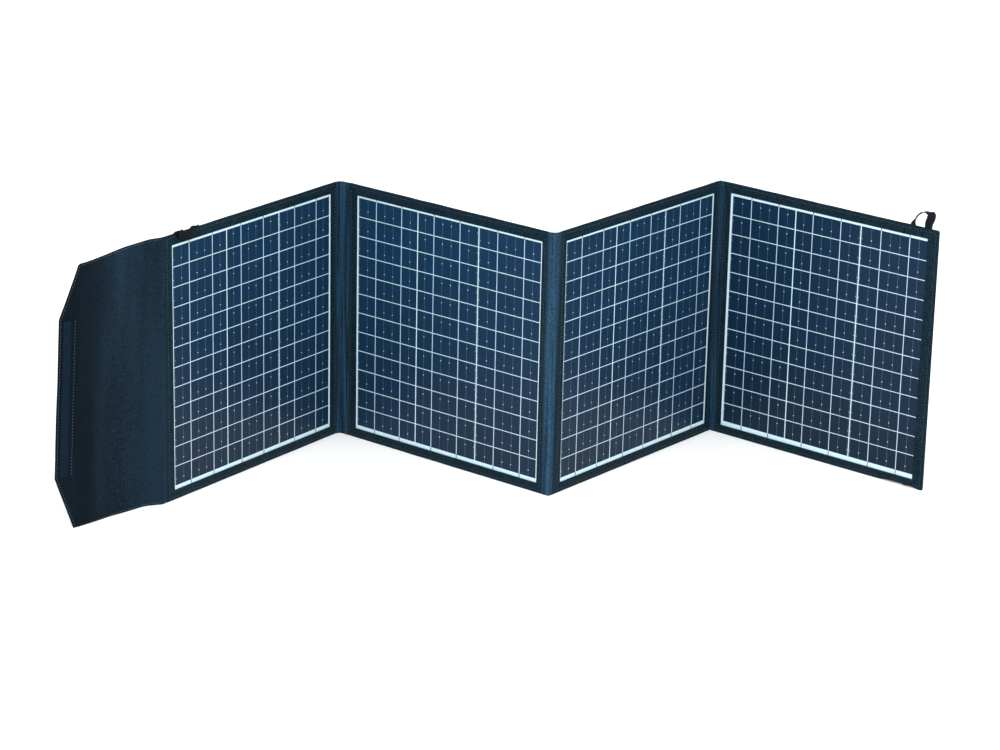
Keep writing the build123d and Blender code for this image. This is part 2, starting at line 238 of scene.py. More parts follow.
def hem_insets(half):
    """Distances in from a sewn edge where a grid is dense: its rounding, its channel and the puff beside it."""
    return rounding(half) + [HEM - 1.6 * MM, HEM, HEM + 1.6 * MM, 9 * MM, HEM_REACH]


def sewn_relief(inset):
    """Depth of the sewn channel, and height of the puff beside it, at a distance in from an edge."""
    channel = -0.45 * MM * bump(inset - HEM, 1.3 * MM) if inset < HEM_REACH else 0.0
    return channel, 0.25 * MM * bump(inset - 10 * MM, 3 * MM)


def smooth_through(rows, at):
    """A smooth curve through rows of numbers, each led by its place along the curve; gives the other numbers."""
    at = min(max(at, rows[0][0]), rows[-1][0])
    step = next(k for k in range(1, len(rows)) if at <= rows[k][0])
    before, after = rows[step - 1], rows[step]
    wide = after[0] - before[0]
    t = (at - before[0]) / wide

    def slope(k, column):
        first, last = rows[max(k - 1, 0)], rows[min(k + 1, len(rows) - 1)]
        return (last[column] - first[column]) / (last[0] - first[0])

    return [
        before[column] * (1 + 2 * t) * (1 - t) ** 2
        + after[column] * t**2 * (3 - 2 * t)
        + slope(step - 1, column) * wide * t * (1 - t) ** 2
        - slope(step, column) * wide * t**2 * (1 - t)
        for column in range(1, len(before))
    ]


def sheet_mesh(us, vs, place, hole=None, thickness=0.0, flip=False):
    """A sheet over the lines us and vs, with each crossing moved to place(u, v), and its cut in the UV map."""
    bm = bmesh.new()
    bmesh.ops.create_grid(bm, x_segments=len(us) - 1, y_segments=len(vs) - 1, size=0.5)
    cut = bm.loops.layers.uv.new("Cut")
    flat = {}
    for vertex in bm.verts:
        column = round((vertex.co.x + 0.5) * (len(us) - 1))
        row = round((vertex.co.y + 0.5) * (len(vs) - 1))
        flat[vertex] = (us[column], vs[row])
    for face in bm.faces:
        for loop in face.loops:
            loop[cut].uv = flat[loop.vert]
    if hole:
        inside = [
            face
            for face in bm.faces
            if hole(*[sum(flat[vertex][k] for vertex in face.verts) / 4 for k in (0, 1)])
        ]
        bmesh.ops.delete(bm, geom=inside, context="FACES")
    for vertex in bm.verts:
        vertex.co = place(*flat[vertex])
    if flip:
        bmesh.ops.reverse_faces(bm, faces=bm.faces[:])
    if thickness:
        bm.normal_update()
        bmesh.ops.solidify(bm, geom=bm.faces[:], thickness=thickness)
        bmesh.ops.recalc_face_normals(bm, faces=bm.faces[:])
    return bm


def add_piece(name, bm, material, slot, body=None, blend=None, replaces=(), sharp=50):
    """Makes the object and gives it its finish; a piece given a body is tied to that body, one given a blend is left
    untied.
    """
    mesh = bpy.data.meshes.new(name)
    bm.to_mesh(mesh)
    bm.free()
    for polygon in mesh.polygons:
        polygon.use_smooth = True
    mesh.set_sharp_from_angle(angle=math.radians(sharp))
    mesh.materials.append(material)
    piece = bpy.data.objects.new(name, mesh)
    bpy.context.scene.collection.objects.link(piece)
    if blend:
        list(blend[:2])
        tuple(blend[2])
        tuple(blend[3])
        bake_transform(piece)
    else:
        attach(piece, body)
    if replaces:
        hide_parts(*replaces)
    return piece


def paint(node, material):
    """Gives a CAD node its finish."""
    slots = frame["nodes"][node].material_slots
    for slot in slots:
        slot.material = material


# Painted light and shade across a fabric's width: how light it is painted, at shares of that width; the flap's has its
# width in front.
SPINE_SHADING = [(0.0, 0.4), (0.16, 0.8), (0.4, 1.0), (0.68, 0.85), (0.82, 0.4), (1.0, 0.3)]
FLAP_SHADING = (0.217, [(0.0, 1.0), (0.05, 0.75), (0.16, 0.8), (0.3, 1.0), (0.48, 0.95), (0.74, 0.28)])


# ---- Materials ----------------------------------------------------------------------------
class Finish:
    """A node material in the making: a Principled shader and short ways to build its pattern."""

    def __init__(self, name):
        self.material = bpy.data.materials.new(name)
        self.material.use_nodes = True
        self.nodes = self.material.node_tree.nodes
        self.links = self.material.node_tree.links
        self.shader = self.nodes["Principled BSDF"]
        self.coordinates = self.nodes.new("ShaderNodeTexCoord")

    def set(self, **values):
        for key, value in values.items():
            self.shader.inputs[key.replace("_", " ")].default_value = value
        return self

    def join(self, source, target):
        self.links.new(source, target)

    def texture(self, kind, scale, detail=2.0, space="Object", stretch=None, turn=0.0):
        """A texture node on the piece's own coordinates, stretched and turned about the vertical if asked."""
        node = self.nodes.new(kind)
        node.inputs["Scale"].default_value = scale
        if "Detail" in node.inputs:
            node.inputs["Detail"].default_value = detail
        source = self.coordinates.outputs[space]
        if stretch or turn:
            mapping = self.nodes.new("ShaderNodeMapping")
            mapping.inputs["Scale"].default_value = stretch or (1, 1, 1)
            mapping.inputs["Rotation"].default_value = (0, 0, turn)
            self.join(source, mapping.inputs["Vector"])
            source = mapping.outputs["Vector"]
        self.join(source, node.inputs["Vector"])
        return node

    def math(self, operation, first, second=None):
        node = self.nodes.new("ShaderNodeMath")
        node.operation = operation
        for socket, value in zip(node.inputs, (first, second)):
            if value is None:
                continue
            if isinstance(value, (int, float)):
                socket.default_value = value
            else:
                self.join(value, socket)
        return node.outputs[0]

    def ramp(self, source, stops):
        node = self.nodes.new("ShaderNodeValToRGB")
        elements = node.color_ramp.elements
        while len(elements) < len(stops):
            elements.new(0.5)
        for element, (position, value) in zip(elements, stops):
            element.position = position
            element.color = (*value, 1.0) if hasattr(value, "__len__") else (value, value, value, 1.0)
        self.join(source, node.inputs["Fac"])
        return node.outputs["Color"]

    def range(self, source, low, high, target):
        """Sends a 0 to 1 pattern to a shader input, between low and high."""
        node = self.nodes.new("ShaderNodeMapRange")
        node.inputs["To Min"].default_value = low
        node.inputs["To Max"].default_value = high
        self.join(source, node.inputs["Value"])
        self.join(node.outputs["Result"], self.shader.inputs[target])

    def tint(self, colour, source, low, high):
        """Base colour, darker and lighter with a 0 to 1 pattern."""
        shades = [tuple(min(1.0, part * level) for part in colour) for level in (low, high)]
        self.join(self.ramp(source, [(0.0, shades[0]), (1.0, shades[1])]), self.shader.inputs["Base Color"])

    def relief(self, source, distance, strength=1.0, under=None):
        node = self.nodes.new("ShaderNodeBump")
        node.inputs["Strength"].default_value = strength
        node.inputs["Distance"].default_value = distance
        self.join(source, node.inputs["Height"])
        if under:
            self.join(under, node.inputs["Normal"])
        self.join(node.outputs["Normal"], self.shader.inputs["Normal"])
        return node.outputs["Normal"]

    def plain_weave(self, pitch):
        """Over-and-under yarns on the piece's cut, 0 to 1."""
        parts = self.nodes.new("ShaderNodeSeparateXYZ")
        self.join(self.coordinates.outputs["UV"], parts.inputs[0])
        turns = math.pi / pitch
        across = self.math("SINE", self.math("MULTIPLY", parts.outputs["X"], turns))
        along = self.math("SINE", self.math("MULTIPLY", parts.outputs["Y"], turns))
        product = self.math("MULTIPLY", across, along)
        return self.math("ADD", self.math("MULTIPLY", product, 0.5), 0.5)


def woven_finish(name, shade, crease_shading=0.0, light_bands=0.0, painted_shading=None):
    """Dark coated polyester: plain weave and dusty unevenness.

    Painted shade of upright creases, as dark and light streaks, and broad bands of painted light are added if asked,
    and painted_shading, a width and its stops, makes it darker in places across the piece with painted shade.
    """
    finish = Finish(name)
    finish.set(Specular_IOR_Level=0.06, Specular_Tint=(0.5, 0.8, 1.0, 1.0))
    speckle = finish.texture("ShaderNodeTexNoise", 430.0, 2.0).outputs["Fac"]
    patches = finish.texture("ShaderNodeTexNoise", 9.0, 3.0).outputs["Fac"]
    grain = finish.ramp(speckle, [(0.36, 0.0), (0.66, 1.0)])
    pattern = finish.math("ADD", finish.math("MULTIPLY", grain, 0.7), finish.math("MULTIPLY", patches, 0.3))
    # Painted light and shade: upright streaks paint the shade of creases, broad bands paint light across the piece.
    for share, scale, stretch in ((crease_shading, 190.0, 0.03), (light_bands, 17.0, 0.12)):
        if share:
            drawn = finish.texture("ShaderNodeTexNoise", scale, 3.0, stretch=(1, 1, stretch)).outputs["Fac"]
            streaks = finish.ramp(drawn, [(0.36, 0.0), (0.64, 1.0)])
            kept = finish.math("MULTIPLY", pattern, 1 - share)
            pattern = finish.math("ADD", kept, finish.math("MULTIPLY", streaks, share))
    # Painted shade and light across the piece's width.
    if painted_shading:
        across = finish.nodes.new("ShaderNodeSeparateXYZ")
        finish.join(finish.coordinates.outputs["UV"], across.inputs[0])
        kept = finish.ramp(finish.math("MULTIPLY", across.outputs["X"], 1 / painted_shading[0]), painted_shading[1])
        pattern = finish.math("MULTIPLY", pattern, kept)
    finish.tint(shade, pattern, 0.1, 2.1)
    finish.range(patches, 0.5, 0.7, "Roughness")
    weave = finish.plain_weave(sizes().thread_pitch)
    under = finish.relief(weave, 0.12 * MM, 0.6)
    finish.relief(speckle, 0.6 * MM, 0.5, under)
    return finish.material


def webbing_finish():
    """Ribbed webbing: cross ribs along its length."""
    finish = Finish("Webbing")
    finish.set(Roughness=0.6, Specular_IOR_Level=0.12)
    ribs = finish.plain_weave(sizes().webbing_rib)
    fuzz = finish.texture("ShaderNodeTexNoise", 900.0, 2.0).outputs["Fac"]
    finish.tint(colours().webbing, fuzz, 0.5, 1.7)
    under = finish.relief(ribs, 0.35 * MM, 0.9)
    finish.relief(fuzz, 0.15 * MM, 0.4, under)
    return finish.material


def thread_finish(name, shade):
    """Twisted sewing thread."""
    finish = Finish(name)
    finish.set(Roughness=0.55, Specular_IOR_Level=0.1)
    twist = finish.texture("ShaderNodeTexNoise", 1500.0, 2.0).outputs["Fac"]
    finish.tint(shade, twist, 0.7, 1.3)
    finish.relief(twist, 0.1 * MM, 0.5)
    return finish.material


def hook_finish():
    """Dense dull pile of hook and loop tape."""
    finish = Finish("Hook tape")
    finish.set(Roughness=0.8, Specular_IOR_Level=0.03)
    pile = finish.texture("ShaderNodeTexVoronoi", 430.0).outputs["Distance"]
    finish.tint(colours().hook, pile, 0.1, 4.5)
    finish.relief(pile, 0.5 * MM, 0.8)
    return finish.material


def cell_finish(name, section_shade):
    """Coated silicon: deep blue, duller in patches, with painted light that makes it duller low down and at the front;
    each section gets its own painted shade.
    """
    finish = Finish(name)
    finish.set(Specular_IOR_Level=0.1, Coat_Weight=0.04, Coat_Roughness=0.3)
    height = finish.nodes.new("ShaderNodeSeparateXYZ")
    finish.join(finish.coordinates.outputs["Object"], height.inputs[0])
    drift = finish.texture("ShaderNodeTexNoise", 4.0, 2.0).outputs["Fac"]
    grain = finish.texture("ShaderNodeTexNoise", 260.0, 3.0).outputs["Fac"]
    # Painted light: duller low down and towards the front.
    level = finish.math("ADD", finish.math("MULTIPLY", height.outputs["Z"], 1.6), finish.math("MULTIPLY", drift, 0.5))
    level = finish.math("ADD", level, finish.math("MULTIPLY", height.outputs["Y"], 0.8))
    tone = finish.math("ADD", level, finish.math("MULTIPLY", grain, 0.25))
    cool, dull = ([part * section_shade for part in tint] for tint in (colours().cell, colours().cell_shaded))
    finish.join(finish.ramp(tone, [(0.35, dull), (0.95, cool)]), finish.shader.inputs["Base Color"])
    finish.range(grain, 0.3, 0.45, "Roughness")
    finish.relief(grain, 0.01 * MM, 0.1)
    return finish.material


def ribbon_finish():
    """Tinned copper, soft and slightly uneven, dull where it runs past the cells."""
    finish = Finish("Ribbon")
    finish.set(Metallic=0.2, Specular_IOR_Level=0.3)
    ripple = finish.texture("ShaderNodeTexNoise", 150.0, 2.0).outputs["Fac"]
    low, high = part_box("panel_1_solar_cells")
    height = finish.nodes.new("ShaderNodeSeparateXYZ")
    finish.join(finish.coordinates.outputs["Object"], height.inputs[0])
    above = finish.math("GREATER_THAN", height.outputs["Z"], low[2])
    below = finish.math("LESS_THAN", height.outputs["Z"], high[2])
    beside = finish.math("MULTIPLY", above, below)
    bright = finish.math("MULTIPLY", beside, finish.math("ADD", finish.math("MULTIPLY", ripple, 0.4), 0.6))
    finish.tint(colours().ribbon, bright, 0.2, 1.25)
    finish.range(ripple, 0.3, 0.5, "Roughness")
    finish.relief(ripple, 0.05 * MM, 0.4)
    return finish.material


def backsheet_finish():
    """Cool white sheet under the film."""
    finish = Finish("Backsheet")
    finish.set(Roughness=0.5, Specular_IOR_Level=0.3)
    haze = finish.texture("ShaderNodeTexNoise", 40.0, 3.0).outputs["Fac"]
    finish.tint(colours().backsheet, haze, 0.94, 1.05)
    finish.relief(haze, 0.05 * MM, 0.2)
    return finish.material


def film_finish():
    """Clear film with a faint haze."""
    finish = Finish("Clear film")
    finish.set(Base_Color=(0.03, 0.05, 0.07, 1.0), Alpha=0.05, Specular_IOR_Level=0.02)
    dimples = finish.texture("ShaderNodeTexNoise", 60.0, 1.0).outputs["Fac"]
    finish.range(dimples, 0.2, 0.3, "Roughness")
    finish.relief(dimples, 0.02 * MM, 0.1)
    return finish.material


def moulded_finish(name, base, roughness=0.5, grain=900.0):
    """Moulded plastic with a fine spark-eroded grain."""
    finish = Finish(name)
    spots = finish.texture("ShaderNodeTexNoise", grain, 2.0).outputs["Fac"]
    finish.tint(base, spots, 0.8, 1.2)
    finish.range(spots, roughness - 0.08, roughness + 0.08, "Roughness")
    finish.relief(spots, 0.08 * MM, 0.4)
    return finish.material


def metal_finish(name, base, roughness=0.35):
    """Brushed or plated metal."""
    finish = Finish(name)
    finish.set(Metallic=1.0)
    brushed = finish.texture("ShaderNodeTexNoise", 300.0, 2.0, stretch=(1, 1, 12)).outputs["Fac"]
    finish.tint(base, brushed, 0.85, 1.1)
    finish.range(brushed, roughness - 0.07, roughness + 0.1, "Roughness")
    return finish.material


def finish_once(name, make):
    """The material of that name, made the first time it is asked for."""
    return bpy.data.materials.get(name) or make()


def fabric():
    return finish_once("Cover fabric", lambda: woven_finish("Cover fabric", colours().fabric))


def spine_fabric():
    # Painted shade of creases on the spines, as dark and light streaks.
    return finish_once("Spine fabric", lambda: woven_finish("Spine fabric", colours().spine, crease_shading=0.55))


def lit_spine_fabric(width):
    """Spine fabric painted paler down its middle: painted light on the spine that stands out in front."""
    name = "Lit spine fabric"
    return finish_once(
        name, lambda: woven_finish(name, colours().lit_spine, crease_shading=0.4, painted_shading=(width, SPINE_SHADING))
    )


def flap_fabric():
    # Painted light: broad light bands, and painted shade towards the flap's free edge.
    return finish_once("Flap fabric", lambda: woven_finish("Flap fabric", colours().flap, light_bands=0.35, painted_shading=FLAP_SHADING))


def thread():
    return finish_once("Thread", lambda: thread_finish("Thread", colours().thread))


def cover_thread():
    return finish_once("Cover thread", lambda: thread_finish("Cover thread", colours().cover_thread))


# ---- Stitching ------------------------------------------------------------------------------
def add_stitches(bm, route, normal_of, skip=None):
    """Stitches along a route of points, each half sunk in the fabric."""
    pitch, long, wide = sizes().stitch_pitch, sizes().stitch_length, sizes().stitch_width
    total = sum((b - a).length for a, b in zip(route, route[1:]))
    count = max(1, round(total / pitch))
    targets = [(k + 0.5) * total / count for k in range(count)]
    walked, leg = 0.0, 0
    for target in targets:
        while leg < len(route) - 2 and walked + (route[leg + 1] - route[leg]).length < target:
            walked += (route[leg + 1] - route[leg]).length
            leg += 1
        tangent = (route[leg + 1] - route[leg]).normalized()
        centre = route[leg] + tangent * (target - walked)
        if skip and skip(centre):
            continue
        up = normal_of(centre, leg).normalized()
        side = up.cross(tangent).normalized()
        turn = Matrix((tangent, side, up)).transposed().to_4x4()
        size = Matrix.Diagonal((long / 2, wide / 2, wide * 0.4, 1.0))
        stitch = bmesh.ops.create_icosphere(bm, subdivisions=1, radius=1.0)
        bmesh.ops.transform(bm, matrix=Matrix.Translation(centre) @ turn @ size, verts=stitch["verts"])


# ---- Covers ---------------------------------------------------------------------------------
CORNER = 4 * MM          # radius of a free corner

# How far the sewn edge of each window sits outside its nominal place: left, right, bottom and top.
WINDOW_EDGES = {
    1: (1.5 * MM, -1.5 * MM, -1.1 * MM, 1.4 * MM),
    2: (-1.0 * MM, 0.6 * MM, -1.1 * MM, 0.7 * MM),
    3: (0.8 * MM, -1.5 * MM, -1.1 * MM, 0.9 * MM),
    4: (-1.0 * MM, -1.0 * MM, 0.4 * MM, 1.9 * MM),
}

# Between which places across a section its bottom hem is lifted by a folded tape loop beneath it.
HEM_LIFT = {4: (334 * MM, 414 * MM)}


def window_limits(face):
    left, right, bottom, top = WINDOW_EDGES[face.number]
    return -left, face.window.x + right, -bottom, face.window.y + top


def free_sides(face):
    """Whether the left and right sides are free edges, not folds."""
    return face.number == 1, face.number == 4


def cover_place(face, u, v, side):
    """Front (side = 1) or back (side = -1) of a cover: rounded hem, a sewn channel, a little slack."""
    left_free, right_free = free_sides(face)
    from_left = u - face.low.x if left_free else math.inf
    from_right = face.high.x - u if right_free else math.inf
    from_side = min(from_left, from_right)
    from_end = min(v - face.low.y, face.high.y - v)
    inset = min(from_side, from_end)
    if from_side < CORNER and from_end < CORNER and face.number == 4:
        x, y = CORNER - from_side, CORNER - from_end
        reach = max(x, y)
        scale = reach / max(math.hypot(x, y), 1e-9)
        u += (x - x * scale) * (1 if from_left < from_right else -1)
        v += (y - y * scale) * (1 if v < face.high.y / 2 else -1)
        inset = CORNER - reach
    half = face.half
    rise = math.sqrt(max(0.0, half**2 - (half - min(inset, half)) ** 2))
    channel, puff = sewn_relief(inset)
    slack = sizes().slack * 0.5 * wave(u, v, 22.0, face.number * 3.0 + side) * smooth_step((inset - half) / HEM)
    n = face.middle + side * (rise + (channel + puff + slack) * (rise / half))
    v += 0.35 * MM * wave(u, 0.0, 30.0, face.number + 0.5) * bump(from_end, 8 * MM)
    if face.number in HEM_LIFT and v < 0.0:
        low, high = HEM_LIFT[face.number]
        lift = smooth_step((u - low) / (14 * MM)) * smooth_step((high - u) / (14 * MM))
        v += 2.6 * MM * lift * max(0.0, 1 - (v - face.low.y) / (16 * MM))
    return face.at(u, v, n)


def cover_lines(face, window=True):
    """Lines of the grid of a cover: dense at its hems, sewn channels and window."""
    left_free, right_free = free_sides(face)
    insets = hem_insets(face.half)
    extra_u = [face.low.x + x for x in insets] if left_free else []
    extra_u += [face.high.x - x for x in insets] if right_free else []
    extra_v = [face.low.y + x for x in insets] + [face.high.y - x for x in insets]
    us = lines(face.low.x, face.high.x, 14 * MM, extra_u)
    vs = lines(face.low.y, face.high.y, 14 * MM, extra_v)
    if window:
        left, right, bottom, top = window_limits(face)
        us = with_edges(us, (left, right))
        vs = with_edges(vs, (bottom, top))
    return us, vs


def with_edges(values, edges):
    """Adds the window's edges, each with a line just outside it, and clears other lines that come too near."""
    added = [edges[0], edges[1], edges[0] - 1.2 * MM, edges[1] + 1.2 * MM]
    kept = [x for x in values if all(abs(x - edge) > 0.9 * MM for edge in added)]
    return sorted(kept + added)


def build_cover(face):
    us, vs = cover_lines(face)
    left, right, bottom, top = window_limits(face)

    def in_window(u, v):
        return left < u < right and bottom < v < top

    front = sheet_mesh(
        us, vs, lambda u, v: cover_place(face, u, v, 1), hole=in_window, thickness=FABRIC
    )
    add_piece(
        f"panel_{face.number}_cover_front", front, fabric(), "fabric", face.body,
        replaces=[f"panel_{face.number}_front_cover"],
    )
    us, vs = cover_lines(face, window=False)
    back = sheet_mesh(us, vs, lambda u, v: cover_place(face, u, v, -1), thickness=FABRIC, flip=True)
    add_piece(
        f"panel_{face.number}_cover_back", back, fabric(), "fabric", face.body,
        replaces=[f"panel_{face.number}_back_cover"],
    )


def stitch_cover(face):
    """Rows of stitches along the hems and beside the spines, front and back."""
    bm = bmesh.new()
    left_free, right_free = free_sides(face)
    low_u = face.low.x + (HEM if left_free else 3 * MM)
    high_u = face.high.x - (HEM if right_free else 3 * MM)
    low_v, high_v = face.low.y + HEM, face.high.y - HEM
    rows = [
        [(u, low_v) for u in lines(low_u, high_u, 6 * MM)],
        [(u, high_v) for u in lines(low_u, high_u, 6 * MM)],
        [(low_u, v) for v in lines(low_v, high_v, 10 * MM)],
        [(high_u, v) for v in lines(low_v, high_v, 10 * MM)],
    ]
    for side in (1, -1):
        for row in rows:
            route = [cover_place(face, u, v, side) + face.n * side * 0.1 * MM for u, v in row]
            add_stitches(bm, route, lambda centre, leg: face.n)
    add_piece(f"panel_{face.number}_stitches", bm, cover_thread(), "fabric", face.body, sharp=80)


class SOLARPANEL_OT_covers(bpy.types.Operator):
    """Sew the fabric covers of the four sections"""

    bl_idname = "solarpanel.covers"
    bl_label = "Covers"

    def execute(self, context):
        for face in FACES.values():
            build_cover(face)
            stitch_cover(face)
        return {"FINISHED"}


# ---- Spines ---------------------------------------------------------------------------------
# For each fold: how far from the corner the fabric starts to round, at the bottom and at the top;
# half its thickness at the fold; how deep a crease runs down the corner; and how much it wrinkles.
SPINE_SHAPES = {
    "fold_1_2": {"round": (11 * MM, 17 * MM), "half": 1.3 * MM, "crease": 0.0, "wrinkle": 1.5 * MM},
    "fold_2_3": {"round": (6 * MM, 17 * MM), "half": 1.5 * MM, "crease": 0.0, "wrinkle": 0.9 * MM},
    "fold_3_4": {"round": (3.5 * MM, 4.5 * MM), "half": 1.0 * MM, "crease": 2.2 * MM, "wrinkle": 0.3 * MM},
}


class Spine:
    """The fabric between two sections: its path from one cover round the fold to the next."""

    def __init__(self, fold):
        self.fold = fold
        self.a, self.b = (FACES[number] for number in FOLDS[fold])
        self.shape = SPINE_SHAPES[fold]
        self.start = self.a.at(self.a.high.x, 0.0, self.a.high.z)
        self.end = self.b.at(self.b.low.x, 0.0, self.b.high.z)
        gap = self.end - self.start
        across = self.a.u.x * self.b.u.y - self.a.u.y * self.b.u.x
        reach = (gap.x * self.b.u.y - gap.y * self.b.u.x) / across
        self.corner = self.start + self.a.u * reach
        self.reach = (reach, (self.end - self.corner).length)
        self.length = sum(self.reach)
        for point in (self.start, self.end, self.corner):
            point.z = 0.0    # place() adds the height
        axis = Vector(JOINTS[fold]["pos_m"])
        self.turns = (
            self.a.at(self.a.local(axis).x - 8 * MM, 0.0, self.a.high.z),
            self.b.at(self.b.local(axis).x + 8 * MM, 0.0, self.b.high.z),
        )

    def path(self, share, height):
        """Point and front normal at a share of the way across, height from 0 to 1."""
        radius = min(mix(*self.shape["round"], height), *self.reach)
        s = share * self.length
        first = self.reach[0] - radius
        last = self.reach[0] + radius
        if s <= first:
            return self.start + self.a.u * s, self.a.n
        if s >= last:
            return self.end - self.b.u * (self.length - s), self.b.n
        t = (s - first) / (last - first)
        before = self.corner - self.a.u * radius
        after = self.corner + self.b.u * radius
        point = before * (1 - t) ** 2 + self.corner * 2 * t * (1 - t) + after * t**2
        tangent = ((self.corner - before) * (1 - t) + (after - self.corner) * t).normalized()
        return point, Vector((tangent.y, -tangent.x, 0.0))

    def place(self, s, v, side):
        """A point of the front (1), the back (-1) or the middle (0) of the spine."""
        share = s / self.length
        a = self.a
        height = (v - a.low.y) / (a.high.y - a.low.y)
        point, normal = self.path(share, height)
        inset = min(v - a.low.y, a.high.y - v)
        ends = smooth_step(s / (7 * MM)) * smooth_step((self.length - s) / (7 * MM))
        half = mix(a.half, self.shape["half"], ends)
        rise = math.sqrt(max(0.0, 1 - (1 - min(inset, a.half) / a.half) ** 2))
        channel, puff = (part * rise for part in sewn_relief(inset))
        crease = -self.shape["crease"] * bump(s - self.reach[0], 2.2 * MM)
        seed = len(self.fold) + a.number * 7.0
        broad = noise.noise(Vector((s * 110.0, v * 4.0, seed)))
        fine = noise.noise(Vector((s * 300.0, v * 11.0, seed + 5.0)))
        streaks = 1.1 * broad + 0.55 * fine
        wrinkle = self.shape["wrinkle"] * streaks * ends * smooth_step(inset / (6 * MM))
        depth = half - side * (half * rise + channel + puff) - crease - wrinkle
        return point - normal * depth + a.v * (v + a.origin.z)

    def lines(self):
        insets = hem_insets(self.a.half)
        ends = [self.a.low.y + x for x in insets] + [self.a.high.y - x for x in insets]
        us = lines(0.0, self.length, 1.1 * MM)
        vs = lines(self.a.low.y, self.a.high.y, 7 * MM, ends)
        return us, vs


def build_spine(fold):
    spine = Spine(fold)
    us, vs = spine.lines()
    left, right = spine.a.body, spine.b.body
    blend = (left, right, *spine.turns)
    # The fold that stands out in front gets painted light on its spine.
    finish = lit_spine_fabric(spine.length) if fold == "fold_2_3" else spine_fabric()
    front = sheet_mesh(us, vs, lambda s, v: spine.place(s, v, 1), thickness=FABRIC)
    add_piece(
        f"{fold}_spine_front", front, finish, "fabric", blend=blend, replaces=[f"{left}_spine_right"]
    )
    back = sheet_mesh(us, vs, lambda s, v: spine.place(s, v, -1), thickness=FABRIC, flip=True)
    add_piece(
        f"{fold}_spine_back", back, spine_fabric(), "fabric", blend=blend, replaces=[f"{right}_spine_left"]
    )
    stitches = bmesh.new()
    for side in (1, -1):
        for v in (spine.a.low.y + HEM, spine.a.high.y - HEM):
            route = [spine.place(s, v, side) for s in us[2:-2:3]]
            normals = [spine.path(s / spine.length, 0.5)[1] for s in us[2:-2:3]]
            route = [point + normal * side * 0.1 * MM for point, normal in zip(route, normals)]
            add_stitches(stitches, route, lambda centre, leg: normals[leg])
    add_piece(f"{fold}_stitches", stitches, cover_thread(), "fabric", blend=blend, sharp=80)
    links = bmesh.new()
    low, high = spine.a.span(f"{left}_link_strips_right")
    scratch = bpy.data.meshes.new("link")
    half = LINK_WIDTH / 2
    for centre in (low.y + half, high.y - half):
        strip = sheet_mesh(
            us, lines(centre - half, centre + half, half), lambda s, v: spine.place(s, v, 0),
            thickness=LINK_THICKNESS,
        )
        strip.to_mesh(scratch)
        strip.free()
        links.from_mesh(scratch)
    bpy.data.meshes.remove(scratch)
    add_piece(
        f"{fold}_link_strips", links, finish_once("Copper", lambda: metal_finish("Copper", (0.75, 0.38, 0.22))),
        "copper", blend=blend, replaces=[f"{left}_link_strips_right", f"{right}_link_strips_left"],
    )


class SOLARPANEL_OT_spines(bpy.types.Operator):
    """Sew the soft spines that join the sections"""

    bl_idname = "solarpanel.spines"
    bl_label = "Spines"

    def execute(self, context):
        for fold in FOLDS:
            build_spine(fold)
        return {"FINISHED"}


# ---- Laminates ------------------------------------------------------------------------------
CELL_COLUMNS = 3
CELL_ROWS = 12
COLUMN_GAP = 2.1 * MM
ROW_GAP = 1.45 * MM
BUSBAR_START = 1.6 * MM  # from a cell's cut edge to its first line
BUSBAR_PITCH = 18.85 * MM
RIBBONED = (2, 5)        # the lines that a ribbon covers
TURNED_COLUMN = 1
CELL_SHADES = {1: 0.86, 2: 1.0, 3: 0.88, 4: 0.7}   # painted shade: how light each section's cells are painted, for how the light falls on that section
RAISED_PADS = {1: 1, 2: 1, 3: 1, 4: 0}   # for each section, the column whose pads sit high


def build_busbars(face):
    """Printed lines and solder pads on each cell, as thin raised pieces."""
    low, high = face.span(f"panel_{face.number}_solar_cells")
    wide = (high.x - low.x - (CELL_COLUMNS - 1) * COLUMN_GAP) / CELL_COLUMNS
    tall = (high.y - low.y - (CELL_ROWS - 1) * ROW_GAP) / CELL_ROWS
    turn = Matrix((face.u, face.v, face.n)).transposed().to_4x4()
    printed, pads = bmesh.new(), bmesh.new()
    for column in range(CELL_COLUMNS):
        left = low.x + column * (wide + COLUMN_GAP)
        pad_height = 0.30 if column == RAISED_PADS[face.number] else 0.66
        for step in range(7):
            if step in RIBBONED:
                continue
            offset = BUSBAR_START + step * BUSBAR_PITCH
            u = left + (wide - offset if column == TURNED_COLUMN else offset)
            for row in range(CELL_ROWS):
                top = high.y - row * (tall + ROW_GAP)
                bar = bmesh.ops.create_cube(printed, size=1.0)
                size = Matrix.Diagonal((sizes().busbar, tall - 1.2 * MM, 0.05 * MM, 1.0))
                place = Matrix.Translation(face.at(u, top - tall / 2, high.z + 0.02 * MM))
                bmesh.ops.transform(printed, matrix=place @ turn @ size, verts=bar["verts"])
                radius = sizes().pad / 2
                pad = bmesh.ops.create_cone(
                    pads, cap_ends=True, segments=10, radius1=radius, radius2=radius * 0.8, depth=0.12 * MM
                )
                squeeze = Matrix.Diagonal((0.6 if step == 0 else 1.0, 1.15, 1.0, 1.0))
                place = Matrix.Translation(face.at(u, top - pad_height * tall, high.z + 0.05 * MM))
                bmesh.ops.transform(pads, matrix=place @ turn @ squeeze, verts=pad["verts"])
    line = finish_once("Printed line", lambda: moulded_finish("Printed line", tuple(colours().busbar)))
    add_piece(f"panel_{face.number}_busbars", printed, line, "ribbon", face.body, sharp=30)
    solder = finish_once("Ribbon", ribbon_finish)
    add_piece(f"panel_{face.number}_pads", pads, solder, "ribbon", face.body, sharp=30)


def build_film(face):
    """The clear film that beds the cells on the backsheet; over the cells it shows as their own gloss."""
    low, high = face.span(f"panel_{face.number}_clear_film")
    level = face.span(f"panel_{face.number}_solar_cells")[1].z - 0.03 * MM
    us, vs = lines(low.x, high.x, 70 * MM), lines(low.y, high.y, 70 * MM)
    film = sheet_mesh(us, vs, lambda u, v: face.at(u, v, level), thickness=0.2 * MM)
    add_piece(
        f"panel_{face.number}_film", film, finish_once("Clear film", film_finish), "film", face.body,
        replaces=[f"panel_{face.number}_clear_film"],
    )


